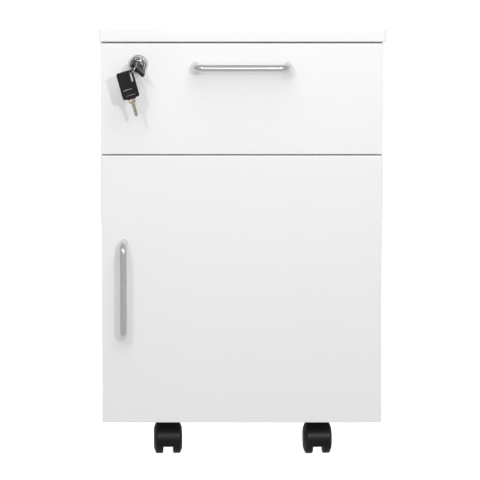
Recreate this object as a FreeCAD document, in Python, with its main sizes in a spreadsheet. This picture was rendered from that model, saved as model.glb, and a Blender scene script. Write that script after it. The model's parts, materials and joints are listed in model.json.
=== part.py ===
"""Rolling pedestal cabinet: a board case with one drawer, one door, a cam lock and four casters.

Frame: millimetres, +Z up, the floor at z = 0, the fronts face -Y, the origin is under the middle
of the object's box. Every sub-part is a labelled object of one FreeCAD document, and its sizes
are bound to the cells of the sheet named Sizes.
"""
import FreeCAD, Part
import math
import os
import re

import Sketcher
from FreeCAD import Placement, Rotation, Vector

SIZES = {
    # case
    "case_width": 392, "board": 16, "case_base": 56, "case_back": 220,
    "top_width": 398, "top_shift": 1, "top_depth": 400, "top_board": 18, "total_height": 618,
    "front_face": -175, "front_gap": 3, "back_board": 16,
    # fronts
    "drawer_front_base": 440.5, "drawer_front_height": 157,
    "door_base": 56.5, "door_height": 382, "divider_base": 431.5,
    # shelf
    "shelf_base": 243, "shelf_front": -140, "pin_radius": 2.5, "pin_depth": 8, "pin_reach": 9,
    # cam fittings
    "cam_radius": 7.5, "cam_depth": 12.5, "cam_offset": 24, "bolt_radius": 3, "bolt_bite": 11,
    # drawer box
    "slide_width": 12.7, "drawer_wall": 12, "drawer_base": 457.5, "drawer_side_height": 90,
    "drawer_length": 350, "drawer_panel": 4, "groove": 5, "groove_height": 4,
    # slides
    "rail_axis": 495.5, "rail_length": 350, "rail_sheet": 1.2,
    "outer_half": 22.5, "middle_half": 16.5, "inner_half": 12,
    # handles
    "rod_radius": 5, "handle_span": 128, "handle_reach": 32, "handle_bend": 11,
    "handle_level": 567.5, "door_handle_side": -165, "door_handle_level": 251.5,
    "screw_radius": 2, "screw_bite": 10, "head_radius": 4, "head_height": 3,
    # lock
    "lock_side": -144, "lock_level": 568, "rosette_radius": 14, "rosette_lip": 11.6,
    "rosette_height": 3, "collar_radius": 10, "housing_radius": 9.5, "plug_radius": 7.5,
    "plug_gap": 0.05, "lock_proud": 3.5, "housing_tail": 7, "cam_length": 28, "cam_half": 6,
    "cam_sheet": 2.5, "nut_flats": 24, "nut_height": 4,
    # keys
    "key_width": 23.7, "key_top": 36.7, "key_bottom": 2.2, "key_thick": 4.5, "key_corner": 3,
    "slot_side": 7.85, "slot_centre": 26.7, "slot_length": 14, "slot_width": 2.6, "web": 1.8,
    "knuckle_radius": 2.1, "knuckle_width": 12, "fold_pin": 1, "tab_end": 3.4, "tab_thick": 3.6,
    "shoulder_width": 9, "shoulder_end": 9, "blade_width": 5, "blade_end": 29, "blade_thick": 2,
    "keyway_depth": 22, "ring_radius": 7.96, "ring_wire": 0.75,
    # hinges
    "hinge_edge": 6.5, "pin_wire": 1.2, "eye_radius": 2.0, "eye_height": 8, "cup_radius": 17.5,
    "cup_inner": 16.9, "cup_depth": 12, "cup_side": 20.4, "arm_height": 12, "arm_sheet": 2,
    "hinge_inset": 71, "arm_inset": 26.5,
    # casters
    "wheel_radius": 22, "wheel_width": 11.8, "wheel_gap": 14.2, "trail": 15,
    "caster_side": 105, "front_axis": -105, "rear_axis": 178, "axle_radius": 3,
    "bore_gap": 0.06, "hood_inner": 23.2, "hood_outer": 25.4, "hood_width": 31.5, "hood_low": 14,
    "plate_size": 38, "plate_sheet": 2.5, "stem_radius": 4, "stem_length": 19, "socket_radius": 8.5,
    "socket_base": 31, "socket_height": 20,
}

# How the loose pieces hang: the ring through the key's slot, then the spare key on the ring.
RING_CENTRE = (-150.095, -220.425, 571.112)
RING_AXIS = (0.8227, 0.1208, -0.5554)
SPARE_PIN = (-153.448, -220.894, 531.175)
SPARE_YAW = 9.64
SPARE_TILT = 15.07

# Thickness of the hinges' mounting plates on the side panel.
PLATE_SHEET = 2.5

doc = FreeCAD.newDocument("pedestal")
sheet = doc.addObject("Spreadsheet::Sheet", "Sizes")
NODES = {}


def fill_sheet():
    """Write the driving dimensions into the sheet, one aliased row each."""
    for row, (alias, value) in enumerate(SIZES.items(), start=1):
        sheet.set(f"A{row}", alias)
        sheet.set(f"B{row}", str(value))
        sheet.setAlias(f"B{row}", alias)
    doc.recompute()


def size(alias):
    """A dimension as it stands in the sheet."""
    return float(sheet.get(alias))


def bound(formula):
    """A formula in the sheet's own words, as an expression of the document."""
    return re.sub(r"[a-z]\w*", lambda word: "Sizes." + word.group(), str(formula))


def bind(thing, **formulas):
    """Bind properties of an object to formulas."""
    for prop, formula in formulas.items():
        thing.setExpression(prop, bound(formula))
    return thing


def place(thing, x, y, z, rotation=None):
    """Put an object at a place given by three formulas."""
    thing.Placement = Placement(Vector(), rotation or Rotation())
    for axis, formula in zip("xyz", (x, y, z)):
        thing.setExpression(f"Placement.Base.{axis}", bound(formula))
    return thing


def box(name, size_of, corner):
    """A block with its size and its low corner as formulas."""
    block = doc.addObject("Part::Box", name)
    bind(block, Length=size_of[0], Width=size_of[1], Height=size_of[2])
    return place(block, *corner)


TURN = {
    "+x": Rotation(Vector(0, 1, 0), 90), "-x": Rotation(Vector(0, 1, 0), -90),
    "+y": Rotation(Vector(1, 0, 0), -90), "-y": Rotation(Vector(1, 0, 0), 90),
    "+z": Rotation(), "-z": Rotation(Vector(1, 0, 0), 180),
}


def rod(name, radius, length, start, way):
    """A cylinder from a start point along one of the axes."""
    cylinder = bind(doc.addObject("Part::Cylinder", name), Radius=radius, Height=length)
    return place(cylinder, *start, TURN[way])


def cone(name, low_radius, high_radius, length, start, way):
    """A truncated cone from a start point along one of the axes."""
    shape = doc.addObject("Part::Cone", name)
    bind(shape, Radius1=low_radius, Radius2=high_radius, Height=length)
    return place(shape, *start, TURN[way])


def join(name, *parts):
    """One solid made of several."""
    whole = doc.addObject("Part::MultiFuse", name)
    whole.Shapes = list(parts)
    whole.Refine = True
    return whole


def group(name, parts):
    """Several separate solids kept together."""
    compound = doc.addObject("Part::Compound", name)
    compound.Links = list(parts)
    return compound


def cut(name, base, *tools):
    """A solid with other solids taken out of it."""
    result = doc.addObject("Part::Cut", name)
    result.Base = base
    result.Tool = tools[0] if len(tools) == 1 else group(name + "_cutters", tools)
    return result


def node(name, thing):
    """Name a finished sub-part."""
    thing.Label = name
    NODES[name] = thing
    return thing


def origin_plane(body, role):
    """One of a body's own origin planes."""
    return next(f for f in body.Origin.OriginFeatures if f.Role == role)


def sketch_on(body, name, role):
    """A sketch on one of the body's origin planes."""
    sketch = body.newObject("Sketcher::SketchObject", name)
    sketch.AttachmentSupport = [(origin_plane(body, role), "")]
    sketch.MapMode = "FlatFace"
    return sketch


def repeat(name, shape, spots):
    """Copies of one shape at several placements, as separate solids."""
    copies = doc.addObject("Part::Feature", name)
    moved = []
    for spot in spots:
        copy = shape.copy()
        copy.Placement = spot.multiply(copy.Placement)
        moved.append(copy)
    copies.Shape = Part.makeCompound(moved)
    return copies


# ---------------------------------------------------------------- case

def cam_fittings():
    """Cam discs and their bolts, and which of them each board is drilled for."""
    inner = "case_width / 2 - board"
    fittings, drilled = [], {"side_left": [], "side_right": [], "bottom": [], "divider": [], "top": []}
    for depth, y in (("front", "front_face + 60"), ("rear", "case_back - 50")):
        for side, sign, way in (("left", "-", "-x"), ("right", "+", "+x")):
            level = "total_height - top_board - cam_offset"
            start = f"{sign}({inner})"
            disc = rod(f"cam_top_{side}_{depth}", "cam_radius", "cam_depth", (start, y, level), way)
            bolt = rod(f"bolt_top_{side}_{depth}", "bolt_radius",
                       "cam_offset - cam_radius + bolt_bite",
                       (f"{start} {sign} cam_depth / 2", y, f"{level} + cam_radius"), "+z")
            fittings += [disc, bolt]
            drilled["side_" + side] += [disc, bolt]
            drilled["top"].append(bolt)
            for shelf, base in (("bottom", "case_base"), ("divider", "divider_base")):
                across = f"{sign}({inner} - cam_offset)"
                disc = rod(f"cam_{shelf}_{side}_{depth}", "cam_radius", "cam_depth",
                           (across, y, base), "+z")
                bolt = rod(f"bolt_{shelf}_{side}_{depth}", "bolt_radius",
                           "cam_offset - cam_radius + bolt_bite",
                           (f"{across} {sign} cam_radius", y, f"{base} + cam_depth / 2"), way)
                fittings += [disc, bolt]
                drilled[shelf] += [disc, bolt]
                drilled["side_" + side].append(bolt)
    node("cam_fittings", group("fittings", fittings))
    return drilled


def screw_shape(shank, length, head, height):
    """A pan-head screw: the head above z = 0, the shank below it."""
    stem = Part.makeCylinder(shank, length, Vector(0, 0, -length))
    dome = Part.makeCylinder(head, height)
    dome = dome.makeChamfer(height * 0.35, [dome.Edges[0]])
    return stem.fuse(dome).removeSplitter()


def fixing_spots():
    """Where the case's own screws go: in the cabinet rails and the hinge plates."""
    inner = size("case_width") / 2 - size("board")
    spots = {"left": [], "right": []}
    for side, sign in (("left", -1), ("right", 1)):
        turn = Rotation(Vector(0, 1, 0), -90 * sign)
        web = sign * (inner - size("rail_sheet"))
        for step in (0.12, 0.5, 0.88):
            y = size("front_face") + 19 + size("rail_length") * step
            spots[side].append(Placement(Vector(web, y, size("rail_axis")), turn))
    plates = []
    turn = Rotation(Vector(0, 1, 0), -90)
    for level in hinge_levels():
        for offset in (-17, 17):
            plates.append(Placement(Vector(inner - PLATE_SHEET, -115, level + offset), turn))
    return spots, plates


def hinge_levels():
    """Heights of the two hinges."""
    low = size("door_base") + size("hinge_inset")
    return low, size("door_base") + size("door_height") - size("hinge_inset")


def shelf_pins():
    """Four shelf pins, and two columns of pin holes in each side panel."""
    pins, holes = [], {"left": [], "right": []}
    for side, sign, way in (("left", "-", "+x"), ("right", "+", "-x")):
        start = f"{sign}(case_width / 2 - board + pin_depth)"
        for depth, y in (("front", "shelf_front + 37"), ("rear", "case_back - 60")):
            pins.append(rod(f"pin_{side}_{depth}", "pin_radius", "pin_depth + pin_reach",
                            (start, y, "shelf_base - pin_radius"), way))
            for step in (-2, -1, 1, 2):
                holes[side].append(rod(f"hole_{side}_{depth}_{step + 2}", "pin_radius",
                                       "pin_depth + 1",
                                       (start, y, f"shelf_base - pin_radius + 32 * ({step})"), way))
    node("shelf_pins", group("pins", pins))
    return pins, holes


def case_boards(drilled, screws):
    """The case: top, sides, bottom, divider, back and shelf."""
    front = "front_face + board + front_gap"
    depth = f"case_back - ({front})"
    inside = "case_width - 2 * board"
    pins, holes = shelf_pins()
    top = box("top_board_block", ("top_width", "top_depth", "top_board"),
              ("top_shift - top_width / 2", "front_face - 1", "total_height - top_board"))
    node("top_panel", cut("top_drilled", top, *drilled["top"]))
    for side, corner in (("left", "-case_width / 2"), ("right", "case_width / 2 - board")):
        block = box(side + "_block", ("board", depth, "total_height - top_board - case_base"),
                    (corner, front, "case_base"))
        own_pins = [p for p in pins if side in p.Name]
        tools = drilled["side_" + side] + own_pins + holes[side] + screws[side]
        node(side + "_side_panel", cut(side + "_drilled", block, *tools))
    low = box("bottom_block", (inside, depth, "board"), (f"-({inside}) / 2", front, "case_base"))
    node("bottom_panel", cut("bottom_drilled", low, *drilled["bottom"], screws["casters"]))
    shelf_depth = f"{depth} - back_board"
    middle = box("divider_block", (inside, shelf_depth, "board"),
                 (f"-({inside}) / 2", front, "divider_base"))
    node("divider_panel", cut("divider_drilled", middle, *drilled["divider"]))
    node("back_panel", box("back_block", (inside, "back_board",
                                          "total_height - top_board - case_base - board"),
                           (f"-({inside}) / 2", "case_back - back_board", "case_base + board")))
    node("shelf", box("shelf_block", (f"{inside} - 2", "case_back - back_board - 4 - shelf_front",
                                      "board"),
                      (f"-({inside} - 2) / 2", "shelf_front", "shelf_base")))


def channel(name, side, near, far, half):
    """One slide member: a web and two flanges, `near` and `far` counted from the side panel.

    The web stands at `near`, or at `far` on the drawer's own member.
    """
    sign = -1 if side == "left" else 1
    inner = size("case_width") / 2 - size("board")
    sheet_thick = size("rail_sheet")
    web_near = far - sheet_thick if name == "drawer" else near

    def block(start, end, low, high):
        x = sorted((sign * (inner - start), sign * (inner - end)))
        y = size("front_face") + size("board") + size("front_gap")
        return Part.makeBox(x[1] - x[0], size("rail_length"), high - low,
                            Vector(x[0], y, size("rail_axis") + low))

    web = block(web_near, web_near + sheet_thick, -half, half)
    flanges = [block(near, far, half - sheet_thick, half), block(near, far, -half, sheet_thick - half)]
    if name == "cabinet":
        flanges += [block(far - sheet_thick, far, half - 4, half),
                    block(far - sheet_thick, far, -half, 4 - half)]
    rail = doc.addObject("Part::Feature", f"{side}_{name}_channel")
    rail.Shape = web.multiFuse(flanges).removeSplitter()
    return rail


def slides(screws, drawer_screws):
    """Ball-bearing slides: a cabinet, a middle and a drawer member on each side."""
    for side in ("left", "right"):
        outer = channel("cabinet", side, 0, 11, size("outer_half"))
        node(side + "_cabinet_rail", cut(side + "_outer_drilled", outer, *screws[side]))
        node(side + "_middle_rail", channel("middle", side, 3, 9.5, size("middle_half")))
        inner = channel("drawer", side, 5.6, size("slide_width"), size("inner_half"))
        node(side + "_drawer_rail", cut(side + "_inner_drilled", inner, drawer_screws[side]))


# ---------------------------------------------------------------- drawer

def drawer_box(drawer_screws):
    """Two sides with a groove for the bottom, a back and the thin bottom."""
    front = "front_face + board"
    outside = "case_width / 2 - board - slide_width"
    inside = f"({outside} - drawer_wall)"
    panel_base = "drawer_base + groove_height"
    bottom = box("drawer_bottom_sheet",
                 (f"2 * ({inside} + groove)", "drawer_length - 1", "drawer_panel"),
                 (f"-({inside} + groove)", front, panel_base))
    node("drawer_bottom", bottom)
    for side, corner in (("left", f"-({outside})"), ("right", inside)):
        block = box(f"drawer_{side}_block", ("drawer_wall", "drawer_length", "drawer_side_height"),
                    (corner, front, "drawer_base"))
        node(f"drawer_{side}_side", cut(f"drawer_{side}_grooved", block, bottom, drawer_screws[side]))
    node("drawer_back", box("drawer_back_block",
                            (f"2 * {inside}", "drawer_wall",
                             "drawer_side_height - groove_height - drawer_panel"),
                            (f"-{inside}", f"{front} + drawer_length - drawer_wall",
                             f"{panel_base} + drawer_panel")))


def handle(name, where, rotation):
    """A bow handle of round rod: two legs and a bar in one swept piece, tapped for two screws."""
    body = doc.addObject("PartDesign::Body", name + "_body")
    half, bend = size("handle_span") / 2, size("handle_bend")
    reach = size("handle_reach") - size("rod_radius")
    path = sketch_on(body, name + "_path", "XY_Plane")
    corner = bend * (1 - math.sqrt(0.5))
    legs = [(-half, 0, -half, bend - reach), (bend - half, -reach, half - bend, -reach),
            (half, bend - reach, half, 0)]
    path.addGeometry(Part.LineSegment(Vector(*legs[0][:2], 0), Vector(*legs[0][2:], 0)))
    path.addGeometry(Part.Arc(Vector(-half, bend - reach, 0), Vector(corner - half, corner - reach, 0),
                              Vector(bend - half, -reach, 0)))
    path.addGeometry(Part.LineSegment(Vector(*legs[1][:2], 0), Vector(*legs[1][2:], 0)))
    path.addGeometry(Part.Arc(Vector(half - bend, -reach, 0), Vector(half - corner, corner - reach, 0),
                              Vector(half, bend - reach, 0)))
    path.addGeometry(Part.LineSegment(Vector(*legs[2][:2], 0), Vector(*legs[2][2:], 0)))
    profile = sketch_on(body, name + "_section", "XZ_Plane")
    circle = profile.addGeometry(Part.Circle(Vector(-half, 0, 0), Vector(0, 0, 1), 5))
    profile.addConstraint(Sketcher.Constraint("Radius", circle, size("rod_radius")))
    profile.setExpression("Constraints[0]", bound("rod_radius"))
    sweep = body.newObject("PartDesign::AdditivePipe", name + "_sweep")
    sweep.Profile = profile
    sweep.Spine = (path, [])
    body.Tip = sweep
    doc.recompute()
    holes = []
    for side, x in (("low", "-handle_span / 2"), ("high", "handle_span / 2")):
        holes.append(rod(f"{name}_tap_{side}", "screw_radius + 0.05", "screw_bite + 1",
                         (x, 0, 0), "-y"))
    tapped = cut(name + "_tapped", body, *holes)
    return node(name, place(tapped, *where, rotation))


def handle_screws(name, centre, along):
    """Two screws that hold a handle from behind its front."""
    length = size("board") + size("screw_bite")
    shape = screw_shape(size("screw_radius"), length, size("head_radius"), size("head_height"))
    half = size("handle_span") / 2
    turn = Rotation(Vector(1, 0, 0), -90)
    back = size("front_face") + size("board")
    spots = [Placement(Vector(centre[0] + along[0] * half * s, back, centre[1] + along[1] * half * s),
                       turn) for s in (-1, 1)]
    return node(name, repeat(name + "_pair", shape, spots))


def drawer_front(screws):
    """The drawer's front board, bored for its handle and its lock."""
    block = box("drawer_front_block", ("case_width", "board", "drawer_front_height"),
                ("-case_width / 2", "front_face", "drawer_front_base"))
    bore = rod("lock_bore", "housing_radius", "board", ("lock_side", "front_face", "lock_level"), "+y")
    node("drawer_front", cut("drawer_front_bored", block, bore, screws))


# ---------------------------------------------------------------- lock and keys

def lock_body():
    """Housing with its collar, the conical rosette round it and the nut behind the board."""
    here = ("lock_side", "front_face - lock_proud", "lock_level")
    barrel = rod("housing_barrel", "housing_radius", "lock_proud + board + housing_tail", here, "+y")
    collar = rod("housing_collar", "collar_radius", "lock_proud", here, "+y")
    bore = rod("plug_bore", "plug_radius + plug_gap", "lock_proud + board + housing_tail + 2",
               ("lock_side", "front_face - lock_proud - 1", "lock_level"), "+y")
    node("lock_housing", cut("housing", join("housing_solid", barrel, collar), bore))
    cover = cone("rosette_cone", "rosette_lip", "rosette_radius", "rosette_height",
                 ("lock_side", "front_face - rosette_height", "lock_level"), "+y")
    hole = rod("rosette_hole", "collar_radius", "rosette_height",
               ("lock_side", "front_face - rosette_height", "lock_level"), "+y")
    node("lock_rosette", cut("rosette", cover, hole))
    blank = doc.addObject("Part::Prism", "nut_blank")
    blank.Polygon = 6
    bind(blank, Circumradius="nut_flats / 1.7320508", Height="nut_height")
    place(blank, "lock_side", "front_face + board", "lock_level", TURN["+y"])
    thread = rod("nut_bore", "housing_radius", "nut_height",
                 ("lock_side", "front_face + board", "lock_level"), "+y")
    node("lock_nut", cut("nut", blank, thread))


def lock_core():
    """The plug with its keyway, the cam on its square and the cam's screw."""
    tail = "front_face + board + housing_tail"
    face = "front_face - lock_proud + 0.8"
    plug = rod("plug_rod", "plug_radius", f"{tail} + 1.5 - ({face})",
               ("lock_side", face, "lock_level"), "+y")
    keyway = doc.addObject("Part::Box", "keyway")
    bind(keyway, Length="shoulder_width + 0.6", Width="keyway_depth", Height="blade_thick + 0.6")
    turn = Rotation(Vector(0, 1, 0), 45)
    half = Vector(-(size("shoulder_width") + 0.6) / 2, -1, -(size("blade_thick") + 0.6) / 2)
    centre = Vector(size("lock_side"), size("front_face") - size("lock_proud") + 0.8, size("lock_level"))
    keyway.Placement = Placement(centre + turn.multVec(half), turn)
    square = rod("cam_square", "plug_radius - 2.5", "cam_sheet",
                 ("lock_side", f"{tail} + 1.5", "lock_level"), "+y")
    tap = rod("cam_tap", "screw_radius", "8", ("lock_side", f"{tail} + 1.5 - 4", "lock_level"), "+y")
    node("lock_plug", cut("plug", join("plug_solid", plug, square), keyway, tap))
    hub = rod("cam_hub", "cam_half + 1.5", "cam_sheet", ("0", "0", "0"), "+y")
    blade = box("cam_blade", ("cam_length - cam_half", "cam_sheet", "2 * cam_half"),
                ("0", "0", "-cam_half"))
    tip = rod("cam_tip", "cam_half", "cam_sheet", ("cam_length - cam_half", "0", "0"), "+y")
    eye = rod("cam_eye", "plug_radius - 2.5", "cam_sheet", ("0", "0", "0"), "+y")
    cam = cut("cam", join("cam_solid", hub, blade, tip), eye)
    node("lock_cam", place(cam, "lock_side", f"{tail} + 1.5", "lock_level", Rotation(Vector(0, 1, 0), 225)))
    head = rod("cam_screw_head", "plug_radius - 1.5", "2",
               ("lock_side", f"{tail} + 1.5 + cam_sheet", "lock_level"), "+y")
    shank = rod("cam_screw_shank", "screw_radius", "6", ("lock_side", f"{tail} - 2", "lock_level"), "+y")
    node("lock_cam_screw", join("cam_screw", head, shank))


def lock_strike():
    """The angle under the top panel that the raised cam stands behind."""
    under = "total_height - top_board"
    front = "front_face + board + 4.6"
    leg = box("strike_leg", ("16", "1.6", "14"), ("lock_side - 8", front, f"{under} - 14"))
    foot = box("strike_foot", ("16", "20", "1.4"), ("lock_side - 8", front, f"{under} - 1.4"))
    node("lock_strike", join("strike", leg, foot))


def key_head(name):
    """A flat key head: a slot for the ring in a thinned seat, and a notch with the fold pin."""
    half, thick = size("key_width") / 2, size("key_thick")
    low, high = -size("key_bottom"), size("key_top")
    plate = Part.makeBox(2 * half, thick, high - low, Vector(-half, -thick / 2, low))
    upright = [e for e in plate.Edges if abs(e.tangentAt(e.FirstParameter).y) > 0.9]
    plate = plate.makeFillet(size("key_corner"), upright)
    rims = [e for e in plate.Edges if abs(abs(e.CenterOfMass.y) - thick / 2) < 1e-6]
    plate = plate.makeFillet(0.8, rims)

    def long_hole(width, deep, lift):
        half_run = (size("slot_length") - size("slot_width")) / 2
        parts = [Part.makeBox(width, deep, 2 * half_run,
                              Vector(size("slot_side") - width / 2, lift, size("slot_centre") - half_run))]
        for end in (-half_run, half_run):
            parts.append(Part.makeCylinder(width / 2, deep,
                                           Vector(size("slot_side"), lift, size("slot_centre") + end),
                                           Vector(0, 1, 0)))
        return parts[0].multiFuse(parts[1:])

    seat = size("slot_width") + 3.2
    cutters = [long_hole(size("slot_width"), thick + 2, -thick / 2 - 1),
               long_hole(seat, thick, size("web") / 2), long_hole(seat, thick, -size("web") / 2 - thick)]
    notch = size("knuckle_width") / 2 + 0.3
    cutters.append(Part.makeBox(2 * notch, thick + 2, size("key_bottom") + 3.0,
                                Vector(-notch, -thick / 2 - 1, low)))
    cutters.append(Part.makeBox(13.5, thick + 2, 1.4, Vector(3 - half, -thick / 2 - 1, 10)))
    pin = Part.makeCylinder(size("fold_pin"), 2 * notch + 2, Vector(-notch - 1, 0, 0), Vector(1, 0, 0))
    head = doc.addObject("Part::Feature", name + "_moulding")
    head.Shape = plate.cut(Part.makeCompound(cutters)).fuse(pin)
    return node(name, head)


def blade_shape():
    """The shoulder and the toothed blade, pointing down from the fold pin."""
    thick, end, tip = size("blade_thick"), size("shoulder_end"), size("blade_end")
    shoulder, narrow = size("shoulder_width") / 2, size("blade_width") / 2
    top = size("fold_pin") + 0.3
    outline = [(-shoulder, -top), (-shoulder, -end), (-narrow, -end)]
    teeth = 4
    pitch = (tip - end - 3) / teeth
    for tooth in range(teeth):
        z = -end - pitch * tooth
        outline += [(-narrow + 1.3, z - pitch * 0.45), (-narrow + 0.2 * (tooth % 2), z - pitch)]
    outline += [(-0.6, -tip), (0.6, -tip), (narrow, -tip + 2), (narrow, -end), (shoulder, -end),
                (shoulder, -top)]
    points = [Vector(x, -thick / 2, z) for x, z in outline + outline[:1]]
    return Part.Face(Part.makePolygon(points)).extrude(Vector(0, thick, 0))


def key_blade(name):
    """The metal blade and the moulded hub that carries it on the fold pin."""
    flat = blade_shape()
    width, thick, end = size("knuckle_width"), size("tab_thick"), size("tab_end")
    knuckle = Part.makeCylinder(size("knuckle_radius"), width, Vector(-width / 2, 0, 0), Vector(1, 0, 0))
    tab = Part.makeBox(width, thick, end, Vector(-width / 2, -thick / 2, -end))
    bore = Part.makeCylinder(size("fold_pin") + 0.05, width + 2, Vector(-width / 2 - 1, 0, 0),
                             Vector(1, 0, 0))
    pieces = {"blade": flat, "hub": knuckle.fuse(tab).removeSplitter().cut(bore).cut(flat)}
    made = []
    for kind, shape in pieces.items():
        part = doc.addObject("Part::Feature", f"{name}_{kind}_solid")
        part.Shape = shape
        made.append(node(f"{name}_{kind}", part))
    return made


def axes_rotation(x, z):
    """The rotation that carries the local x and z axes onto two given directions."""
    return Rotation(Vector(*x), Vector(0, 0, 0), Vector(*z), "XZY")


def keys():
    """One key half turned in the lock, the ring through its head and the spare key on the ring."""
    out = size("front_face") - size("lock_proud") + 0.8
    pin = Vector(size("lock_side"), out - size("shoulder_end") + 0.3, size("lock_level"))
    across = Vector(-1, 0, 1).normalize()
    straight = axes_rotation(across, Vector(0, -1, 0))
    for part in (key_head("key_head"), *key_blade("key")):
        part.Placement = Placement(pin, straight)
    ring = doc.addObject("Part::Torus", "ring_torus")
    bind(ring, Radius1="ring_radius", Radius2="ring_wire")
    ring.Placement = Placement(Vector(*RING_CENTRE), Rotation(Vector(0, 0, 1), Vector(*RING_AXIS)))
    node("key_ring", ring)
    hang = Placement(Vector(*SPARE_PIN),
                     Rotation(Vector(0, 0, 1), SPARE_YAW).multiply(Rotation(Vector(0, 1, 0), -SPARE_TILT)))
    for part in (key_head("spare_key_head"), *key_blade("spare_key")):
        part.Placement = hang


# ---------------------------------------------------------------- door and hinges

def door(screws):
    """The door board, bored for its handle and the two hinge cups."""
    block = box("door_block", ("case_width", "board", "door_height"),
                ("-case_width / 2", "front_face", "door_base"))
    cups, bores = [], []
    turn = TURN["-y"]
    back = size("front_face") + size("board")
    side = size("case_width") / 2 - size("cup_side")
    pin_side = size("case_width") / 2 - size("hinge_edge")
    for index, level in enumerate(hinge_levels()):
        centre = Vector(side, back, level)
        pot = Part.makeCylinder(size("cup_radius"), size("cup_depth") + 0.8, centre, Vector(0, -1, 0))
        bores.append(pot)
        rim = Part.makeCylinder(size("cup_radius"), 1.2, centre, Vector(0, 1, 0))
        wings = Part.makeBox(14, 1.2, 52, Vector(side - 11, back, level - 26))
        hollow = Part.makeCylinder(size("cup_inner"), size("cup_depth") + 2,
                                   centre + Vector(0, 2, 0), Vector(0, -1, 0))
        middle = back - size("board") / 2
        pin = Part.makeCylinder(size("pin_wire"), 2 * size("cup_inner"),
                                Vector(pin_side, middle, level - size("cup_inner")), Vector(0, 0, 1))
        pin = pin.common(Part.makeCylinder(size("cup_radius"), 20, centre, Vector(0, -1, 0)))
        cups.append(pot.multiFuse([rim, wings]).cut(hollow).fuse(pin).removeSplitter())
    holder = doc.addObject("Part::Feature", "cup_pair")
    cup_screw = screw_shape(1.75, 10, 3.2, 0.8)
    cup_spots = [Placement(Vector(side - 4, back + 1.2, level + off), Rotation(Vector(1, 0, 0), -90))
                 for level in hinge_levels() for off in (-22.5, 22.5)]
    cup_screws = repeat("cup_screws", cup_screw, cup_spots)
    holder.Shape = Part.makeCompound([c.cut(cup_screws.Shape) for c in cups])
    node("hinge_cups", group("cups_and_screws", [holder, cup_screws]))
    pots = doc.addObject("Part::Feature", "cup_bores")
    pots.Shape = Part.makeCompound(bores)
    node("door_panel", cut("door_bored", block, pots, cup_screws, screws))


def hinge_arms(plate_screws):
    """Cranked arms from the side panel into the cups, and the plates that carry them."""
    pin_side = size("case_width") / 2 - size("hinge_edge")
    middle = size("front_face") + size("board") / 2
    inner = size("case_width") / 2 - size("board")
    high, eye_high = size("arm_height"), size("eye_height")
    sheet_thick = size("arm_sheet")
    riser = size("case_width") / 2 - size("arm_inset")
    low = middle - size("eye_radius") - 1.6
    arms, plates = [], []
    for level in hinge_levels():
        base, eye_base = level - high / 2, level - eye_high / 2
        reach = Part.makeBox(pin_side - riser, sheet_thick, eye_high, Vector(riser, low, eye_base))
        rise = Part.makeBox(sheet_thick, 30, high, Vector(riser, low, base))
        beam = Part.makeBox(6, 62, high, Vector(riser - 4, middle + 17, base))
        eye = Part.makeCylinder(size("eye_radius"), eye_high, Vector(pin_side, middle, eye_base))
        lug = Part.makeBox(3, 3.6, eye_high, Vector(pin_side - 3, low, eye_base))
        bore = Part.makeCylinder(size("pin_wire") + 0.05, high + 2, Vector(pin_side, middle, base - 1))
        arms.append(reach.multiFuse([rise, beam, eye, lug]).cut(bore).removeSplitter())
        pad = Part.makeBox(PLATE_SHEET, 14, 48, Vector(inner - PLATE_SHEET, -122, level - 24))
        tower = Part.makeBox(inner - riser - sheet_thick, 34, high,
                             Vector(riser + sheet_thick, -132, base))
        plates.append(pad.fuse(tower).removeSplitter())
    pair = doc.addObject("Part::Feature", "arm_pair")
    pair.Shape = Part.makeCompound(arms)
    node("hinge_arms", pair)
    pads = doc.addObject("Part::Feature", "plate_pair")
    pads.Shape = Part.makeCompound(plates)
    node("hinge_plates", cut("plates_drilled", pads, plate_screws))


# ---------------------------------------------------------------- casters

CASTERS = {"front_left": (-1, "front_axis", 3), "front_right": (1, "front_axis", 5),
           "rear_left": (-1, "rear_axis", 24), "rear_right": (1, "rear_axis", -16)}


def caster_spot(name):
    """The placement of one caster: swivel axis, floor level and yaw."""
    sign, row, yaw = CASTERS[name]
    return Placement(Vector(sign * size("caster_side"), size(row), 0), Rotation(Vector(0, 0, 1), yaw))


def hood_shape():
    """The hood: a curved fender over both wheels, the web between them and the swivel socket."""
    axle = Vector(-25, -size("trail"), size("wheel_radius"))
    wide = size("hood_width")
    outer = Part.makeCylinder(size("hood_outer"), wide, Vector(-wide / 2, axle.y, axle.z), Vector(1, 0, 0))
    inner = Part.makeCylinder(size("hood_inner"), wide, Vector(-wide / 2, axle.y, axle.z), Vector(1, 0, 0))
    shell = outer.cut(inner)
    low = Part.makeBox(60, 90, 40, Vector(-30, axle.y - 60, size("hood_low") - 40))
    rear = Part.makeBox(60, 60, 60, Vector(-30, axle.y + 4, size("socket_base") - 59))
    shell = shell.cut(Part.makeCompound([low, rear]))
    web_half = size("wheel_gap") / 2 - 0.7
    web = Part.makeCylinder(size("hood_outer") - 0.5, 2 * web_half, Vector(-web_half, axle.y, axle.z),
                            Vector(1, 0, 0))
    web = web.cut(Part.makeBox(60, 80, 20, Vector(-30, -60, size("hood_low") - 20)))
    base = size("socket_base")
    socket = Part.makeCylinder(size("socket_radius"), size("socket_height"), Vector(0, 0, base))
    bridge = Part.makeBox(2 * web_half, size("trail"), size("socket_height") - 2,
                          Vector(-web_half, -size("trail"), base))
    bore = Part.makeCylinder(size("stem_radius") + size("bore_gap"), 40, Vector(0, 0, base + 1.5))
    room = []
    for sign in (-1, 1):
        start = Vector(sign * (web_half + 0.01), axle.y, axle.z)
        room.append(Part.makeCylinder(size("hood_inner"), 30, start, Vector(sign, 0, 0)))
    axle_bore = Part.makeCylinder(size("axle_radius"), 50, axle, Vector(1, 0, 0))
    solid = shell.multiFuse([web, bridge, socket]).cut(Part.makeCompound(room + [bore, axle_bore]))
    return solid.removeSplitter()


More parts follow.
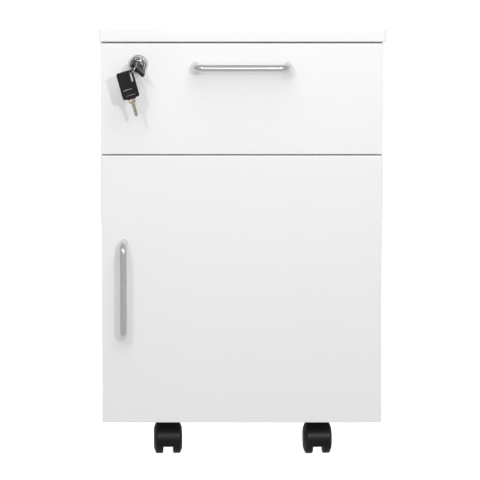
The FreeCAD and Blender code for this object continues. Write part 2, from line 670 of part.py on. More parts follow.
def wheel_shape(sign):
    """One wheel: a flat tread by the hood's web, rounded over to a dished outer face."""
    near, wide, radius = size("wheel_gap") / 2, size("wheel_width"), size("wheel_radius")
    hub = Vector(0, -size("trail"), radius)

    def point(across, out):
        return hub + Vector(sign * across, 0, out)

    far = near + wide
    edge = far - 2.6
    tread = [point(near, 0), point(near, radius - 1), point(near + 1, radius), point(edge, radius)]
    shoulder, rim = point(edge + 1.7, radius - 2.6), point(far, radius - 10)
    dish = [rim, point(far, radius - 12), point(far - 1.6, radius - 13), point(far - 1.6, 5),
            point(far, 4), point(far, 0), point(near, 0)]
    edges = [Part.LineSegment(a, b).toShape() for a, b in zip(tread, tread[1:])]
    edges.append(Part.Arc(tread[-1], shoulder, rim).toShape())
    edges += [Part.LineSegment(a, b).toShape() for a, b in zip(dish, dish[1:])]
    wheel = Part.Face(Part.Wire(edges)).revolve(hub, Vector(1, 0, 0), 360)
    bore = Part.makeCylinder(size("axle_radius") + size("bore_gap"), near + 9, hub, Vector(sign, 0, 0))
    return wheel.cut(bore)


def casters():
    """Four twin-wheel casters: hood, axle and two wheels each."""
    reach = size("wheel_gap") / 2 + 8
    for name in CASTERS:
        spot = caster_spot(name)
        axle = Part.makeCylinder(size("axle_radius"), 2 * reach,
                                 Vector(-reach, -size("trail"), size("wheel_radius")), Vector(1, 0, 0))
        shapes = {"hood": hood_shape(), "axle": axle,
                  "left_wheel": wheel_shape(-1), "right_wheel": wheel_shape(1)}
        for piece, shape in shapes.items():
            part = doc.addObject("Part::Feature", f"{name}_{piece}_solid")
            part.Shape = shape
            part.Placement = spot
            node(f"{name}_{piece}", part)


def caster_mounts():
    """Mounting plates, their swivel stems and the screws into the bottom panel."""
    base = size("case_base")
    edge, sheet_thick = size("plate_size"), size("plate_sheet")
    plate = Part.makeBox(edge, edge, sheet_thick, Vector(-edge / 2, -edge / 2, base - sheet_thick))
    plate = plate.makeFillet(4, [e for e in plate.Edges if abs(e.tangentAt(e.FirstParameter).z) > 0.9])
    stem = Part.makeCylinder(size("stem_radius"), size("stem_length"),
                             Vector(0, 0, base - sheet_thick - size("stem_length")))
    places = [Placement(caster_spot(name).Base, Rotation()) for name in CASTERS]
    shape = screw_shape(1.75, 12, 3.2, 1.0)
    upside_down = Rotation(Vector(1, 0, 0), 180)
    spots = [Placement(p.Base + Vector(x, y, base - sheet_thick), upside_down)
             for p in places for x in (-14, 14) for y in (-14, 14)]
    screws = node("caster_screws", repeat("caster_screw_set", shape, spots))
    plates = repeat("caster_plate_set", plate, places)
    node("caster_stems", repeat("caster_stem_set", stem, places))
    node("caster_plates", cut("plates_bored", plates, screws))
    return screws


# ---------------------------------------------------------------- the whole

def drawer_screw_spots(side):
    """Where the drawer's own rail screws go."""
    sign = -1 if side == "left" else 1
    web = sign * (size("case_width") / 2 - size("board") - size("slide_width") + size("rail_sheet"))
    turn = Rotation(Vector(0, 1, 0), 90 * sign)
    y0 = size("front_face") + size("board") + size("front_gap")
    return [Placement(Vector(web, y0 + size("rail_length") * step, size("rail_axis")), turn)
            for step in (0.1, 0.5, 0.9)]


def build():
    """Every sub-part in order."""
    fill_sheet()
    drilled = cam_fittings()
    euro = screw_shape(2.5, 10, 4, 1.0)
    rail_spots, plate_spots = fixing_spots()
    sets = {side: repeat(f"euro_{side}", euro, spots) for side, spots in rail_spots.items()}
    plate_screws = repeat("euro_plates", euro, plate_spots)
    node("euro_screws", group("euro_all", [sets["left"], sets["right"], plate_screws]))
    screws = {"left": [sets["left"]], "right": [sets["right"], plate_screws], "casters": caster_mounts()}
    case_boards(drilled, screws)
    wood = screw_shape(1.75, 9, 3.2, 0.8)
    drawer_screws = {s: repeat(f"wood_{s}", wood, drawer_screw_spots(s)) for s in ("left", "right")}
    node("drawer_screws", group("wood_all", drawer_screws.values()))
    slides({"left": [sets["left"]], "right": [sets["right"]]}, drawer_screws)
    drawer_box(drawer_screws)
    pair = handle_screws("drawer_handle_screws", (0, size("handle_level")), (1, 0))
    drawer_front(pair)
    handle("drawer_handle", ("0", "front_face", "handle_level"), Rotation())
    lock_body()
    lock_core()
    lock_strike()
    keys()
    pair = handle_screws("door_handle_screws",
                         (size("door_handle_side"), size("door_handle_level")), (0, 1))
    door(pair)
    handle("door_handle", ("door_handle_side", "front_face", "door_handle_level"),
           Rotation(Vector(0, 1, 0), 90))
    hinge_arms(plate_screws)
    casters()
    doc.recompute()


def check_and_write():
    """Stop on any failed object or bad shape, then write one STEP file per sub-part."""
    for thing in doc.Objects:
        if {"Invalid", "Error"} & set(thing.State):
            raise RuntimeError(f"{thing.Name} failed: {thing.State}")
    os.makedirs("parts", exist_ok=True)
    for name, thing in NODES.items():
        shape = thing.Shape
        if shape.isNull() or not shape.isValid() or not shape.Solids:
            raise RuntimeError(f"{name} has no valid solid")
    for name, thing in NODES.items():
        thing.Shape.exportStep(f"parts/{name}.step")
    print(len(NODES), "sub-parts written")


build()
check_and_write()
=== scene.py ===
"""Rolling pedestal cabinet: the looks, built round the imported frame."""
import json
import logging
import math
from dataclasses import dataclass
from enum import Enum
from typing import Iterable, Sequence

import bmesh
import bpy
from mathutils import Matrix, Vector


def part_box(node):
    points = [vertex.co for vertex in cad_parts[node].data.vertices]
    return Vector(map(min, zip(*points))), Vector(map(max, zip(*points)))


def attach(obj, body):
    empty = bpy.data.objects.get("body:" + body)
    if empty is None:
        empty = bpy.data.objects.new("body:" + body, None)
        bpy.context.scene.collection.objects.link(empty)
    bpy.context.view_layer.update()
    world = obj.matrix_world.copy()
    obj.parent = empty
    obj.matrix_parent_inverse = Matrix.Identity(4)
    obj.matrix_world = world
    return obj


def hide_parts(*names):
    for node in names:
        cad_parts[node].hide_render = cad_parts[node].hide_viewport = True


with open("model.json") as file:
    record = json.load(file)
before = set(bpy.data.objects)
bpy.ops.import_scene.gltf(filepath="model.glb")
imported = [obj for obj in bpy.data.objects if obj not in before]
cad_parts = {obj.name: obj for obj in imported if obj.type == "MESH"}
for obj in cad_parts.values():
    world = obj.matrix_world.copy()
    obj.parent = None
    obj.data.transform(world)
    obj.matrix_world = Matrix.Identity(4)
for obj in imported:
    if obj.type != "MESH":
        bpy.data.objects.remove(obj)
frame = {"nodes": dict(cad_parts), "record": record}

LOG = logging.getLogger("pedestal")
MM = 0.001
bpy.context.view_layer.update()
Point = Sequence[float]


# ---------------------------------------------------------------- small tools

def linear(hex_colour: str) -> tuple[float, float, float, float]:
    """Turn an sRGB hex colour into the linear colour that shaders take.

    Args:
        hex_colour: six hex digits with a leading hash.

    Returns:
        Red, green, blue and an alpha of one.
    """
    channels = [int(hex_colour[i:i + 2], 16) / 255 for i in (1, 3, 5)]
    red, green, blue = (c / 12.92 if c <= 0.04045 else ((c + 0.055) / 1.055) ** 2.4 for c in channels)
    return red, green, blue, 1.0


def add_node(tree: bpy.types.NodeTree, kind: str, settings: dict | None = None,
             inputs: dict | None = None) -> bpy.types.Node:
    """Add a shader node with its settings and links.

    Args:
        tree: the node tree it joins.
        kind: the node's type name.
        settings: properties of the node itself.
        inputs: for each input socket, a value or the output socket that feeds it.

    Returns:
        The new node.
    """
    node = tree.nodes.new(kind)
    for name, value in (settings or {}).items():
        setattr(node, name, value)
    for name, value in (inputs or {}).items():
        if isinstance(value, bpy.types.NodeSocket):
            tree.links.new(value, node.inputs[name])
        else:
            node.inputs[name].default_value = value
    return node


def deselect() -> None:
    """Leave nothing selected, so that the next operator acts on its own piece only."""
    if bpy.context.object and bpy.context.object.mode != "OBJECT":
        bpy.ops.object.mode_set(mode="OBJECT")
    bpy.ops.object.select_all(action="DESELECT")


def activate(piece: bpy.types.Object) -> None:
    """Make one piece the selected and active one."""
    deselect()
    piece.select_set(True)
    bpy.context.view_layer.objects.active = piece


def apply_modifier(piece: bpy.types.Object, kind: str, **settings: object) -> None:
    """Add a modifier with its settings and apply it."""
    activate(piece)
    modifier = piece.modifiers.new(kind.title(), kind)
    for name, value in settings.items():
        setattr(modifier, name, value)
    bpy.ops.object.modifier_apply(modifier=modifier.name)


def settle(piece: bpy.types.Object) -> None:
    """Move a piece's place, turn and scale into its mesh."""
    activate(piece)
    bpy.ops.object.transform_apply(location=True, rotation=True, scale=True)


def smooth(piece: bpy.types.Object, degrees: float = 35) -> None:
    """Shade a piece smooth, but keep edges sharper than an angle."""
    activate(piece)
    bpy.ops.object.shade_smooth_by_angle(angle=math.radians(degrees))


def outline(name: str, points: Iterable[Point]) -> bpy.types.Object:
    """A closed loop of edges through points, started from a circle of as many vertices.

    Args:
        name: the piece's name.
        points: the loop's corners in metres.

    Returns:
        The piece, in object mode.
    """
    corners = [Vector(p) for p in points]
    deselect()
    bpy.ops.mesh.primitive_circle_add(vertices=len(corners), radius=1.0)
    piece = bpy.context.object
    piece.name = piece.data.name = name
    ring = piece.data.edges[0].vertices[0]
    order, seen = [ring], {ring}
    while len(order) < len(corners):
        here = order[-1]
        for edge in piece.data.edges:
            ends = set(edge.vertices)
            if here in ends and not (ends - {here}) <= seen:
                ring = (ends - {here}).pop()
                order.append(ring)
                seen.add(ring)
                break
    for index, corner in zip(order, corners):
        piece.data.vertices[index].co = corner
    return piece


def turned(name: str, points: Iterable[Point], centre: Point, axis: Point,
           steps: int = 64) -> bpy.types.Object:
    """A solid of revolution: a closed outline spun once round an axis.

    Args:
        name: the piece's name.
        points: the outline's corners, on one side of the axis.
        centre: a point on the axis.
        axis: the axis's direction.
        steps: how many facets go all the way round.

    Returns:
        The piece, closed and facing outwards.
    """
    piece = outline(name, points)
    activate(piece)
    bpy.ops.object.mode_set(mode="EDIT")
    bpy.ops.mesh.select_all(action="SELECT")
    bpy.ops.mesh.spin(steps=steps, angle=math.tau, center=centre, axis=axis)
    bpy.ops.mesh.select_all(action="SELECT")
    bpy.ops.mesh.remove_doubles(threshold=1e-6)
    bpy.ops.mesh.normals_make_consistent(inside=False)
    bpy.ops.object.mode_set(mode="OBJECT")
    return piece


def dress(piece: bpy.types.Object, body: str, finish: "Finish",
          replaced: Sequence[str] = ()) -> bpy.types.Object:
    """Give a piece its finish, its body and the CAD nodes that it stands for.

    Args:
        piece: the piece.
        body: the body that it moves with.
        finish: what it is made of.
        replaced: the CAD nodes that it hides.

    Returns:
        The same piece.
    """
    piece.data.materials.clear()
    piece.data.materials.append(finish.material())
    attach(piece, body)
    if replaced:
        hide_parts(*replaced)
    LOG.info("%s rides on %s", piece.name, body)
    return piece


def body_of(node: str) -> str:
    """The name of the body that a CAD node belongs to."""
    groups = frame["record"]["behaviour"]["bodies"]
    return next(body for body, nodes in groups.items() if node in nodes)


def copy_of(node: str, name: str, clean: bool = True) -> bpy.types.Object:
    """A free copy of a CAD node, with its loose triangles joined at their corners.

    Args:
        node: the CAD node.
        name: the copy's name.
        clean: whether flat neighbours are also dissolved into one face.

    Returns:
        The copy, at the origin, with no parent.
    """
    source = frame["nodes"][node]
    piece = bpy.data.objects.new(name, source.data.copy())
    piece.data.transform(source.matrix_world)
    bpy.context.scene.collection.objects.link(piece)
    activate(piece)
    bpy.ops.object.mode_set(mode="EDIT")
    bpy.ops.mesh.select_all(action="SELECT")
    bpy.ops.mesh.remove_doubles(threshold=2e-6)
    bpy.ops.mesh.customdata_custom_splitnormals_clear()
    if clean:
        bpy.ops.mesh.dissolve_limited(angle_limit=math.radians(0.6))
    bpy.ops.object.mode_set(mode="OBJECT")
    return piece


def refined(node: str, finish: "Finish", edge: float,
            degrees: float = 38) -> bpy.types.Object:
    """A CAD node with its sharp edges broken and its curves shaded smooth.

    Args:
        node: the CAD node that the piece stands for.
        finish: what it is made of.
        edge: width of the broken edges in millimetres, or nought to leave them.
        degrees: the angle above which an edge stays an edge.

    Returns:
        The finished piece.
    """
    piece = copy_of(node, node + "_finished")
    if edge:
        apply_modifier(piece, "BEVEL", width=edge * MM, segments=3, limit_method="ANGLE",
                       angle_limit=math.radians(degrees), harden_normals=True, use_clamp_overlap=True)
    smooth(piece, degrees)
    return dress(piece, body_of(node), finish, [node])


def joined(pieces: Sequence[bpy.types.Object], name: str) -> bpy.types.Object:
    """Several pieces made one, with their places moved into the mesh.

    Args:
        pieces: the pieces, of which the first lends its object.
        name: the whole piece's name.

    Returns:
        The whole piece.
    """
    deselect()
    for piece in pieces:
        piece.select_set(True)
    bpy.context.view_layer.objects.active = pieces[0]
    bpy.ops.object.join()
    whole = bpy.context.object
    whole.name = whole.data.name = name
    settle(whole)
    return whole


def block(centre: Point, size: Point) -> bpy.types.Object:
    """A box by its centre and its size, both in metres."""
    deselect()
    bpy.ops.mesh.primitive_cube_add(size=1.0, location=centre, scale=size)
    return bpy.context.object


def solids_of(piece: bpy.types.Object) -> list[list[Vector]]:
    """The corners of each separate solid in a piece, in the order of the mesh's own vertices."""
    mesh = bmesh.new()
    mesh.from_mesh(piece.data)
    mesh.verts.index_update()
    seen, solids = set(), []
    for first in mesh.verts:
        if first.index in seen:
            continue
        seen.add(first.index)
        front, corners = [first], []
        while front:
            vertex = front.pop()
            corners.append(vertex.co.copy())
            for edge in vertex.link_edges:
                other = edge.other_vert(vertex)
                if other.index not in seen:
                    seen.add(other.index)
                    front.append(other)
        solids.append(corners)
    mesh.free()
    return solids


# ---------------------------------------------------------------- finishes

@dataclass(frozen=True)
class Finish:
    """What a surface is made of. Its pattern is drawn from real sizes in millimetres."""

    name: str
    colour: str
    roughness: float
    metallic: float = 0.0
    ior: float = 1.5
    grain: float = 1.0
    relief: float = 0.02
    shade: float = 0.04
    stretch: tuple[float, float, float] = (1.0, 1.0, 1.0)
    spread: float = 0.06
    specular: float = 0.5

    def material(self) -> bpy.types.Material:
        """The finish's material, made once and shared by all its pieces."""
        known = bpy.data.materials.get(self.name)
        return known if known else self._make()

    def _make(self) -> bpy.types.Material:
        """Build the shader: base colour, roughness and bump from one grain pattern."""
        material = bpy.data.materials.new(self.name)
        material.use_nodes = True
        tree = material.node_tree
        tree.nodes.clear()
        output = add_node(tree, "ShaderNodeOutputMaterial")
        shader = add_node(tree, "ShaderNodeBsdfPrincipled", inputs={"Metallic": self.metallic})
        if not self.metallic:
            shader.inputs["IOR"].default_value = self.ior
            shader.inputs["Specular IOR Level"].default_value = self.specular
        tree.links.new(shader.outputs["BSDF"], output.inputs["Surface"])
        place = add_node(tree, "ShaderNodeTexCoord").outputs["Object"]
        self.pattern(tree, shader, place)
        return material

    def pattern(self, tree: bpy.types.NodeTree, shader: bpy.types.Node,
                place: bpy.types.NodeSocket) -> None:
        """A fine grain that breaks up colour and gloss and stands in slight relief.

        Args:
            tree: the material's node tree.
            shader: the shader that the pattern feeds.
            place: where on the object a point lies, in metres.
        """
        mapped = add_node(tree, "ShaderNodeMapping", inputs={"Vector": place, "Scale": self.stretch})
        fine = add_node(tree, "ShaderNodeTexNoise", inputs={
            "Vector": mapped.outputs["Vector"], "Scale": 1000 / self.grain, "Detail": 3.0})
        broad = add_node(tree, "ShaderNodeTexNoise", inputs={
            "Vector": place, "Scale": 1000 / (self.grain * 60), "Detail": 2.0})
        base = linear(self.colour)
        darker = tuple(c * (1 - self.shade) for c in base[:3]) + (1.0,)
        mix = add_node(tree, "ShaderNodeMix", {"data_type": "RGBA"}, {"Factor": broad.outputs["Fac"]})
        mix.inputs["A"].default_value = base
        mix.inputs["B"].default_value = darker
        tree.links.new(mix.outputs["Result"], shader.inputs["Base Color"])
        spread = add_node(tree, "ShaderNodeMapRange", inputs={
            "Value": fine.outputs["Fac"], "From Min": 0.3, "From Max": 0.7,
            "To Min": self.roughness - self.spread, "To Max": self.roughness + self.spread})
        tree.links.new(spread.outputs["Result"], shader.inputs["Roughness"])
        bump = add_node(tree, "ShaderNodeBump", inputs={
            "Height": fine.outputs["Fac"], "Strength": 0.5, "Distance": self.relief * MM})
        tree.links.new(bump.outputs["Normal"], shader.inputs["Normal"])


# Melamine-faced chipboard, pressed against a finely pearled plate: near-white with a soft, low gloss.
WHITE_BOARD = Finish("melamine_white_pearl", "#F4F4F4", 0.46, grain=1.4, relief=0.05, shade=0.012)
# Foil-wrapped drawer board: a little greyer and glossier than the laminate.
DRAWER_BOARD = Finish("foil_wrapped_board", "#E9E9E6", 0.38, grain=0.9, relief=0.02, shade=0.02)
# Nickel-plated steel rod, satin-brushed along its length before plating.
SATIN_NICKEL = Finish("nickel_satin_brushed", "#DCDDDE", 0.30, 1.0, grain=2.0, relief=0.001,
                      shade=0.05, spread=0.03, stretch=(0.08, 1.0, 1.0))
SATIN_NICKEL_UPRIGHT = Finish("nickel_satin_brushed_upright", "#DCDDDE", 0.30, 1.0, grain=2.0,
                              relief=0.001, shade=0.05, spread=0.03, stretch=(1.0, 1.0, 0.08))
# Bright zinc plate with a blue passivation: slightly cloudy gloss.
ZINC = Finish("zinc_blue_passivated", "#BEC3C8", 0.32, 1.0, grain=2.5, relief=0.01, shade=0.14)
# Cold-rolled galvanised sheet, drawn lengthwise by the rolling mill.
GALVANISED = Finish("steel_sheet_galvanised", "#B9BCBE", 0.36, 1.0, grain=0.6, relief=0.01, shade=0.10,
                    stretch=(1.0, 0.05, 1.0))
# Pressed steel with a thin nickel plate.
PRESSED_NICKEL = Finish("nickel_plated_pressing", "#C6C3BD", 0.24, 1.0, grain=1.8, relief=0.01,
                        shade=0.08)
# Chromed zinc casting: mirror gloss with the faint waviness of the polished casting.
CHROME = Finish("chrome_plated_casting", "#D5D7D9", 0.09, 1.0, grain=4.0, relief=0.02, shade=0.03,
                spread=0.03)
# Nickel-plated brass key blank, warmer where the plate is rubbed.
KEY_METAL = Finish("nickel_plated_brass", "#CFC4B4", 0.30, 1.0, grain=0.7, relief=0.015, shade=0.16)
# Black ABS, spark-eroded mould: satin with a fine grain.
KEY_ABS = Finish("abs_black_moulded", "#131116", 0.44, grain=0.35, relief=0.02, shade=0.12,
                 specular=0.3)
# Black nylon casting for the caster hoods: a slightly greasy satin.
HOOD_NYLON = Finish("nylon_black_moulded", "#0B0A0B", 0.38, grain=0.6, relief=0.02, shade=0.10,
                    specular=0.28)
# Black nylon tread, dulled and scuffed by rolling.
WHEEL_NYLON = Finish("nylon_black_tread", "#141213", 0.50, grain=0.9, relief=0.03, shade=0.22,
                     specular=0.3)


class Slot(Enum):
    """The record's material slots."""

    BOARD = "white_board"
    DRAWER = "drawer_board"
    HANDLE = "satin_handle"
    ZINC = "zinc_steel"
    SLIDE = "slide_steel"
    HINGE = "hinge_nickel"
    CHROME = "lock_chrome"
    KEY = "key_nickel"
    HEAD = "key_plastic"
    HOOD = "caster_plastic"
    WHEEL = "wheel_plastic"


# ---------------------------------------------------------------- pieces

@dataclass
class Boards:
    """The laminated boards, with edge bands that are rounded over after gluing."""

    round_over: float = 1.2
    outer: tuple[str, ...] = ("top_panel", "left_side_panel", "right_side_panel", "bottom_panel",
                              "divider_panel", "back_panel", "shelf", "drawer_front", "door_panel")
    inner: tuple[str, ...] = ("drawer_left_side", "drawer_right_side", "drawer_back", "drawer_bottom")

    def board(self, node: str, finish: Finish) -> bpy.types.Object:
        """One board: only the twelve outer edges are rounded, the bored holes stay crisp.

        Args:
            node: the CAD node.
            finish: what the board is faced with.

        Returns:
            The finished board.
        """
        piece = copy_of(node, node + "_banded", clean=False)
        low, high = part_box(node)
        weights = piece.data.attributes.new("bevel_weight_edge", "FLOAT", "EDGE")
        for edge in piece.data.edges:
            start, end = (piece.data.vertices[index].co for index in edge.vertices)
            middle = (start + end) / 2
            outer_sides = sum(1 for a in range(3)
                              if min(abs(middle[a] - low[a]), abs(middle[a] - high[a])) < 1e-5)
            weights.data[edge.index].value = 1.0 if outer_sides >= 2 else 0.0
        smooth(piece, 28)
        apply_modifier(piece, "BEVEL", width=self.round_over * MM, segments=3, limit_method="WEIGHT",
                       harden_normals=True, use_clamp_overlap=False)
        return dress(piece, body_of(node), finish, [node])

    def build(self) -> None:
        """All the boards of the case, the fronts and the drawer."""
        for node in self.outer:
            self.board(node, WHITE_BOARD)
        for node in self.inner:
            self.board(node, DRAWER_BOARD)


@dataclass
class Screws:
    """Pan-head and countersunk screws with a cross recess pressed into each head."""

    nodes: tuple[str, ...] = ("euro_screws", "caster_screws", "drawer_screws", "drawer_handle_screws",
                              "door_handle_screws", "lock_cam_screw")
    arm: float = 0.30
    slot: float = 0.9
    depth: float = 0.8
    head_zone: float = 1.2

    def cross(self, corners: list[Vector]) -> list[bpy.types.Object]:
        """The two crossed blocks that cut one head.

        Args:
            corners: the corners of one screw, which lies along an axis of the frame.

        Returns:
            The cutters.
        """
        low = Vector([min(c[a] for c in corners) for a in range(3)])
        high = Vector([max(c[a] for c in corners) for a in range(3)])
        along = max(range(3), key=lambda a: high[a] - low[a])
        across = [a for a in range(3) if a != along]
        middle = (low + high) / 2

        def reach(end: float) -> float:
            """How far the screw spreads from its own axis near one of its ends."""
            near = [c - middle for c in corners if abs(c[along] - end) < self.head_zone * MM]
            return max((math.hypot(*(offset[a] for a in across)) for offset in near), default=0.0)

        end = low[along] if reach(low[along]) > reach(high[along]) else high[along]
        cutters = []
        for wide in across:
            size = [self.slot * MM] * 3
            size[along] = 2 * self.depth * MM
            size[wide] = 4 * self.arm * reach(end)
            place = list(middle)
            place[along] = end
            cutters.append(block(place, size))
        return cutters

    def build(self) -> None:
        """Every screw, with its recess."""
        for node in self.nodes:
            piece = copy_of(node, node + "_recessed")
            blocks = [cutter for corners in solids_of(piece) for cutter in self.cross(corners)]
            cutter = joined(blocks, node + "_cutter")
            apply_modifier(piece, "BOOLEAN", object=cutter, operation="DIFFERENCE", solver="EXACT",
                           use_self=True)
            bpy.data.objects.remove(cutter, do_unlink=True)
            smooth(piece, 35)
            dress(piece, body_of(node), ZINC, [node])


@dataclass
class BallCages:
    """The two rows of balls on each slide's middle member, held by thin strips."""

    radius: float = 1.5
    pitch: float = 15.0
    strip: float = 0.5
    strip_width: float = 2.2
    overrun: float = 4.0
    sheet: float = 1.2
    outer_rows: tuple[float, float] = (30.0, 180.0)
    inner_rows: tuple[float, float] = (-140.0, 10.0)

    def row(self, side: float, level: float, span: tuple[float, float]) -> list[bpy.types.Object]:
        """One row of balls with its strip, from front to back.

        Args:
            side: where the row lies across the cabinet, in metres.
            level: its height in metres.
            span: where its balls begin and end along the slide, in millimetres.

        Returns:
            The strip and the balls.
        """
        middle = (span[0] + span[1]) / 2
        length = span[1] - span[0] + 2 * self.overrun
        pieces = [block((side, middle * MM, level),
                        (self.strip_width * MM, length * MM, self.strip * MM))]
        for step in range(int((span[1] - span[0]) / self.pitch) + 1):
            deselect()
            along = (span[0] + step * self.pitch) * MM
            bpy.ops.mesh.primitive_ico_sphere_add(subdivisions=3, radius=self.radius * MM,
                                                  location=(side, along, level))
            pieces.append(bpy.context.object)
        return pieces

    def build(self) -> None:
        """The cages of both slides."""
        for name in ("left", "right"):
            low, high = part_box(f"{name}_middle_rail")
            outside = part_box(f"{name}_cabinet_rail")
            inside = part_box(f"{name}_drawer_rail")
            side = (low[0] + high[0]) / 2
            wall = self.sheet * MM
            pieces = []
            for edge, outer, inner in ((low[2], outside[0][2] + wall, inside[0][2]),
                                       (high[2], outside[1][2] - wall, inside[1][2])):
                pieces += self.row(side, (edge + outer) / 2, self.outer_rows)
                pieces += self.row(side, (edge + inner) / 2, self.inner_rows)
            cage = joined(pieces, f"{name}_ball_cages")
            smooth(cage, 40)
            dress(cage, body_of("left_middle_rail"), GALVANISED)


@dataclass
class LockSeamShadows:
    """Painted shadow: thin black rings laid over the seams between the rosette, the housing's collar
    and the turning plug, where the gaps fall in shade.
    """

    seams: tuple[tuple[float, float], ...] = ((7.55, 8.15), (9.85, 10.55))
    proud: float = 0.06
    sunk: float = 0.4

    def build(self) -> None:
        """One thin black ring of painted shadow for each seam."""
        low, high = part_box("lock_housing")
        side, level = (low[0] + high[0]) / 2, (low[2] + high[2]) / 2
        face = low[1]
        for number, (inner, outer) in enumerate(self.seams, start=1):
            profile = ((inner, -self.proud), (outer, -self.proud),
                       (outer, self.sunk), (inner, self.sunk))
            corners = [(side + radius * MM, face + depth * MM, level) for radius, depth in profile]
            # Each ring is a black sheet in the black ABS finish, standing for the shade inside a seam's
            # gap: a painted shadow, not a part of the lock.
            ring = turned(f"lock_seam_painted_shadow_{number}", corners, (side, 0.0, level), (0.0, 1.0, 0.0))
            smooth(ring)
            dress(ring, body_of("lock_housing"), KEY_ABS)


@dataclass
class HubCaps:
    """The domed cap and the rib on the outer face of each wheel."""

    cap: float = 8.0
    rib: tuple[float, float] = (15.0, 16.4)
    rise: float = 0.5
    root: float = -1.0
    facets: int = 48

    def build(self) -> None:
        """A cap on each of the eight wheels."""
        joints = {joint["child"]: joint for joint in frame["record"]["behaviour"]["joints"]}
        for corner in ("front_left", "front_right", "rear_left", "rear_right"):
            for side, sign in (("left", -1), ("right", 1)):
                node = f"{corner}_{side}_wheel"
                self.wheel_cap(node, joints[body_of(node)], sign)

    def wheel_cap(self, node: str, joint: dict, sign: int) -> None:
        """The cap and rib of one wheel.

        Args:
            node: the wheel's CAD node.
            joint: the joint that the wheel rolls on.
            sign: minus one for the left wheel of the pair, one for the right.
        """
        axis = Vector(joint["axis"]).normalized()
        axis = axis if axis.x * sign > 0 else -axis
        centre = Vector(joint["pos_m"])
        corners = (frame["nodes"][node].matrix_world @ v.co for v in frame["nodes"][node].data.vertices)
        face = max((corner - centre).dot(axis) for corner in corners)
        up = Vector((0.0, 0.0, 1.0))

        def at(radius: float, out: float) -> Vector:
            """A corner of the outline, by its distances from the axis and from the wheel's face."""
            return centre + axis * (face + out * MM) + up * (radius * MM)

        dome = [at(0.0, self.root), at(self.cap, self.root), at(self.cap, 0.1),
                at(self.cap * 0.8, self.rise * 0.8), at(self.cap * 0.45, self.rise), at(0.0, self.rise)]
        inner, outer = self.rib
        rib = [at(inner, self.root), at(outer, self.root), at(outer, 0.05),
               at((inner + outer) / 2, 0.35), at(inner, 0.05)]
        pieces = [turned(f"{node}_{part}", points, centre, axis, self.facets)
                  for part, points in (("dome", dome), ("rib", rib))]
        cap = joined(pieces, node + "_cap")
        smooth(cap, 40)
        dress(cap, body_of(node), HOOD_NYLON)


@dataclass
class Metalwork:
    """Handles, slides, hinges, lock and fixings: CAD shapes with broken edges."""

    broken_edge: float = 0.25

    def build(self) -> None:
        """All the metal pieces that keep their CAD shape."""
        refined("drawer_handle", SATIN_NICKEL, 0, 50)
        refined("door_handle", SATIN_NICKEL_UPRIGHT, 0, 50)
        for node in ("shelf_pins", "cam_fittings", "lock_strike", "lock_nut", "lock_cam",
                     "caster_plates", "caster_stems"):
            refined(node, ZINC, self.broken_edge)
        for side in ("left", "right"):
            for member in ("cabinet", "middle", "drawer"):
                refined(f"{side}_{member}_rail", GALVANISED, 0.2)
        for node in ("hinge_arms", "hinge_plates", "hinge_cups"):
            refined(node, PRESSED_NICKEL, 0.25)
        for node in ("lock_housing", "lock_rosette", "lock_plug"):
            refined(node, CHROME, 0.3)


@dataclass
class Keys:
    """The two keys and their ring."""

    def build(self) -> None:
        """Heads, blades and the ring."""
        for node in ("key_head", "spare_key_head", "key_hub", "spare_key_hub"):
            refined(node, KEY_ABS, 0.0)
        for node in ("key_blade", "spare_key_blade"):
            refined(node, KEY_METAL, 0.12)
        refined("key_ring", PRESSED_NICKEL, 0.0, 60)


@dataclass
class Casters:
    """Four twin-wheel casters."""

    names: tuple[str, ...] = ("front_left", "front_right", "rear_left", "rear_right")

    def build(self) -> None:
        """Hood, axle and two wheels each."""
        for name in self.names:
            refined(name + "_hood", HOOD_NYLON, 0.5)
            refined(name + "_axle", ZINC, 0.2)
            for side in ("left", "right"):
                refined(f"{name}_{side}_wheel", WHEEL_NYLON, 0.4)


# ---------------------------------------------------------------- studio

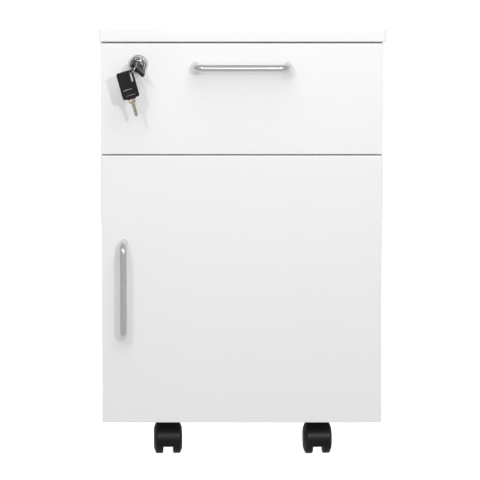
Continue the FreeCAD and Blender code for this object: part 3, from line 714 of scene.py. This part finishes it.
@dataclass
class Studio:
    """Camera, lights, floor and surroundings."""

    camera_distance: float = 10.0
    camera_height: float = 2.4260
    camera_side: float = -0.0025
    pitch_down: float = 11.9
    lens: float = 548.6
    front_face: float = -0.175
    aim_height: float = 0.42
    floor_gap: float = 0.0004

    def camera(self) -> None:
        """A very long lens from far off, looking down a little."""
        data = bpy.data.cameras.new("camera")
        data.lens = self.lens
        data.sensor_width = 36.0
        data.clip_end = 100.0
        camera = bpy.data.objects.new("camera", data)
        camera.location = (self.camera_side, self.front_face - self.camera_distance, self.camera_height)
        camera.rotation_euler = (math.radians(90 - self.pitch_down), 0.0, 0.0)
        bpy.context.scene.collection.objects.link(camera)
        bpy.context.scene.camera = camera

    def lamp(self, name: str, side: float, up: float, distance: float, across: float, power: float,
             mirrored: bool = True) -> None:
        """One square area light aimed at the upper half of the front.

        Args:
            name: the lamp's name.
            side: degrees to the right of the front's normal.
            up: degrees above the horizon.
            distance: metres from the front.
            across: the lamp's side in metres.
            power: watts.
            mirrored: whether shiny pieces reflect it.
        """
        data = bpy.data.lights.new(name, "AREA")
        data.size = across
        data.energy = power
        lamp = bpy.data.objects.new(name, data)
        aim = Vector((0.0, self.front_face, self.aim_height))
        a, e = math.radians(side), math.radians(up)
        away = Vector((math.sin(a) * math.cos(e), -math.cos(a) * math.cos(e), math.sin(e)))
        lamp.location = aim + away * distance
        lamp.rotation_mode = "QUATERNION"
        lamp.rotation_quaternion = away.to_track_quat("Z", "Y")
        lamp.visible_glossy = mirrored
        bpy.context.scene.collection.objects.link(lamp)

    def surroundings(self) -> None:
        """A white room: bright behind the object, softer as a source of light."""
        world = bpy.data.worlds.new("white_room")
        world.use_nodes = True
        tree = world.node_tree
        tree.nodes.clear()
        path = add_node(tree, "ShaderNodeLightPath")
        strength = add_node(tree, "ShaderNodeMapRange", inputs={
            "Value": path.outputs["Is Glossy Ray"], "To Min": 0.43, "To Max": 0.52})
        fill = add_node(tree, "ShaderNodeBackground", inputs={
            "Color": linear("#FFFFFF"), "Strength": strength.outputs["Result"]})
        back = add_node(tree, "ShaderNodeBackground", inputs={
            "Color": linear("#FFFFFF"), "Strength": 1.05})
        mix = add_node(tree, "ShaderNodeMixShader", inputs={"Fac": path.outputs["Is Camera Ray"]})
        tree.links.new(fill.outputs["Background"], mix.inputs[1])
        tree.links.new(back.outputs["Background"], mix.inputs[2])
        output = add_node(tree, "ShaderNodeOutputWorld")
        tree.links.new(mix.outputs["Shader"], output.inputs["Surface"])
        bpy.context.scene.world = world
        bpy.context.scene.view_settings.view_transform = "Standard"

    def floor(self) -> None:
        """A pale floor, bright enough to meet the background without an edge."""
        deselect()
        bpy.ops.mesh.primitive_circle_add(vertices=96, radius=1.5, fill_type="NGON",
                                          location=(0.0, 0.0, -self.floor_gap))
        floor = bpy.context.object
        floor.name = "floor"
        material = bpy.data.materials.new("floor_pale")
        material.use_nodes = True
        tree = material.node_tree
        shader = tree.nodes["Principled BSDF"]
        shader.inputs["Base Color"].default_value = linear("#F2F2F2")
        shader.inputs["Roughness"].default_value = 0.9
        shader.inputs["Specular IOR Level"].default_value = 0.0
        shader.inputs["Emission Color"].default_value = linear("#FFFFFF")
        shader.inputs["Emission Strength"].default_value = 0.95
        floor.data.materials.append(material)
        floor.visible_diffuse = False
        floor.visible_glossy = False

    def build(self) -> None:
        """Everything round the object."""
        self.camera()
        self.surroundings()
        self.floor()
        self.lamp("key_right", side=14, up=20.5, distance=3.2, across=0.13, power=19.5)
        self.lamp("key_left", side=-19.5, up=29, distance=3.2, across=0.13, power=12)
        self.lamp("overhead", side=0, up=58, distance=1.5, across=1.3, power=13.3, mirrored=False)
        self.lamp("top_wash", side=180, up=74, distance=1.6, across=0.6, power=40, mirrored=False)
        self.lamp("front_panel", side=0, up=8, distance=2.4, across=0.5, power=2.2)


def main() -> None:
    """Build the studio and every piece."""
    logging.basicConfig(level=logging.INFO, format="%(name)s: %(message)s")
    Studio().build()
    for part in (Boards(), Metalwork(), Screws(), BallCages(), LockSeamShadows(), Keys(), Casters(),
                 HubCaps()):
        part.build()


if __name__ == "__main__":
    main()
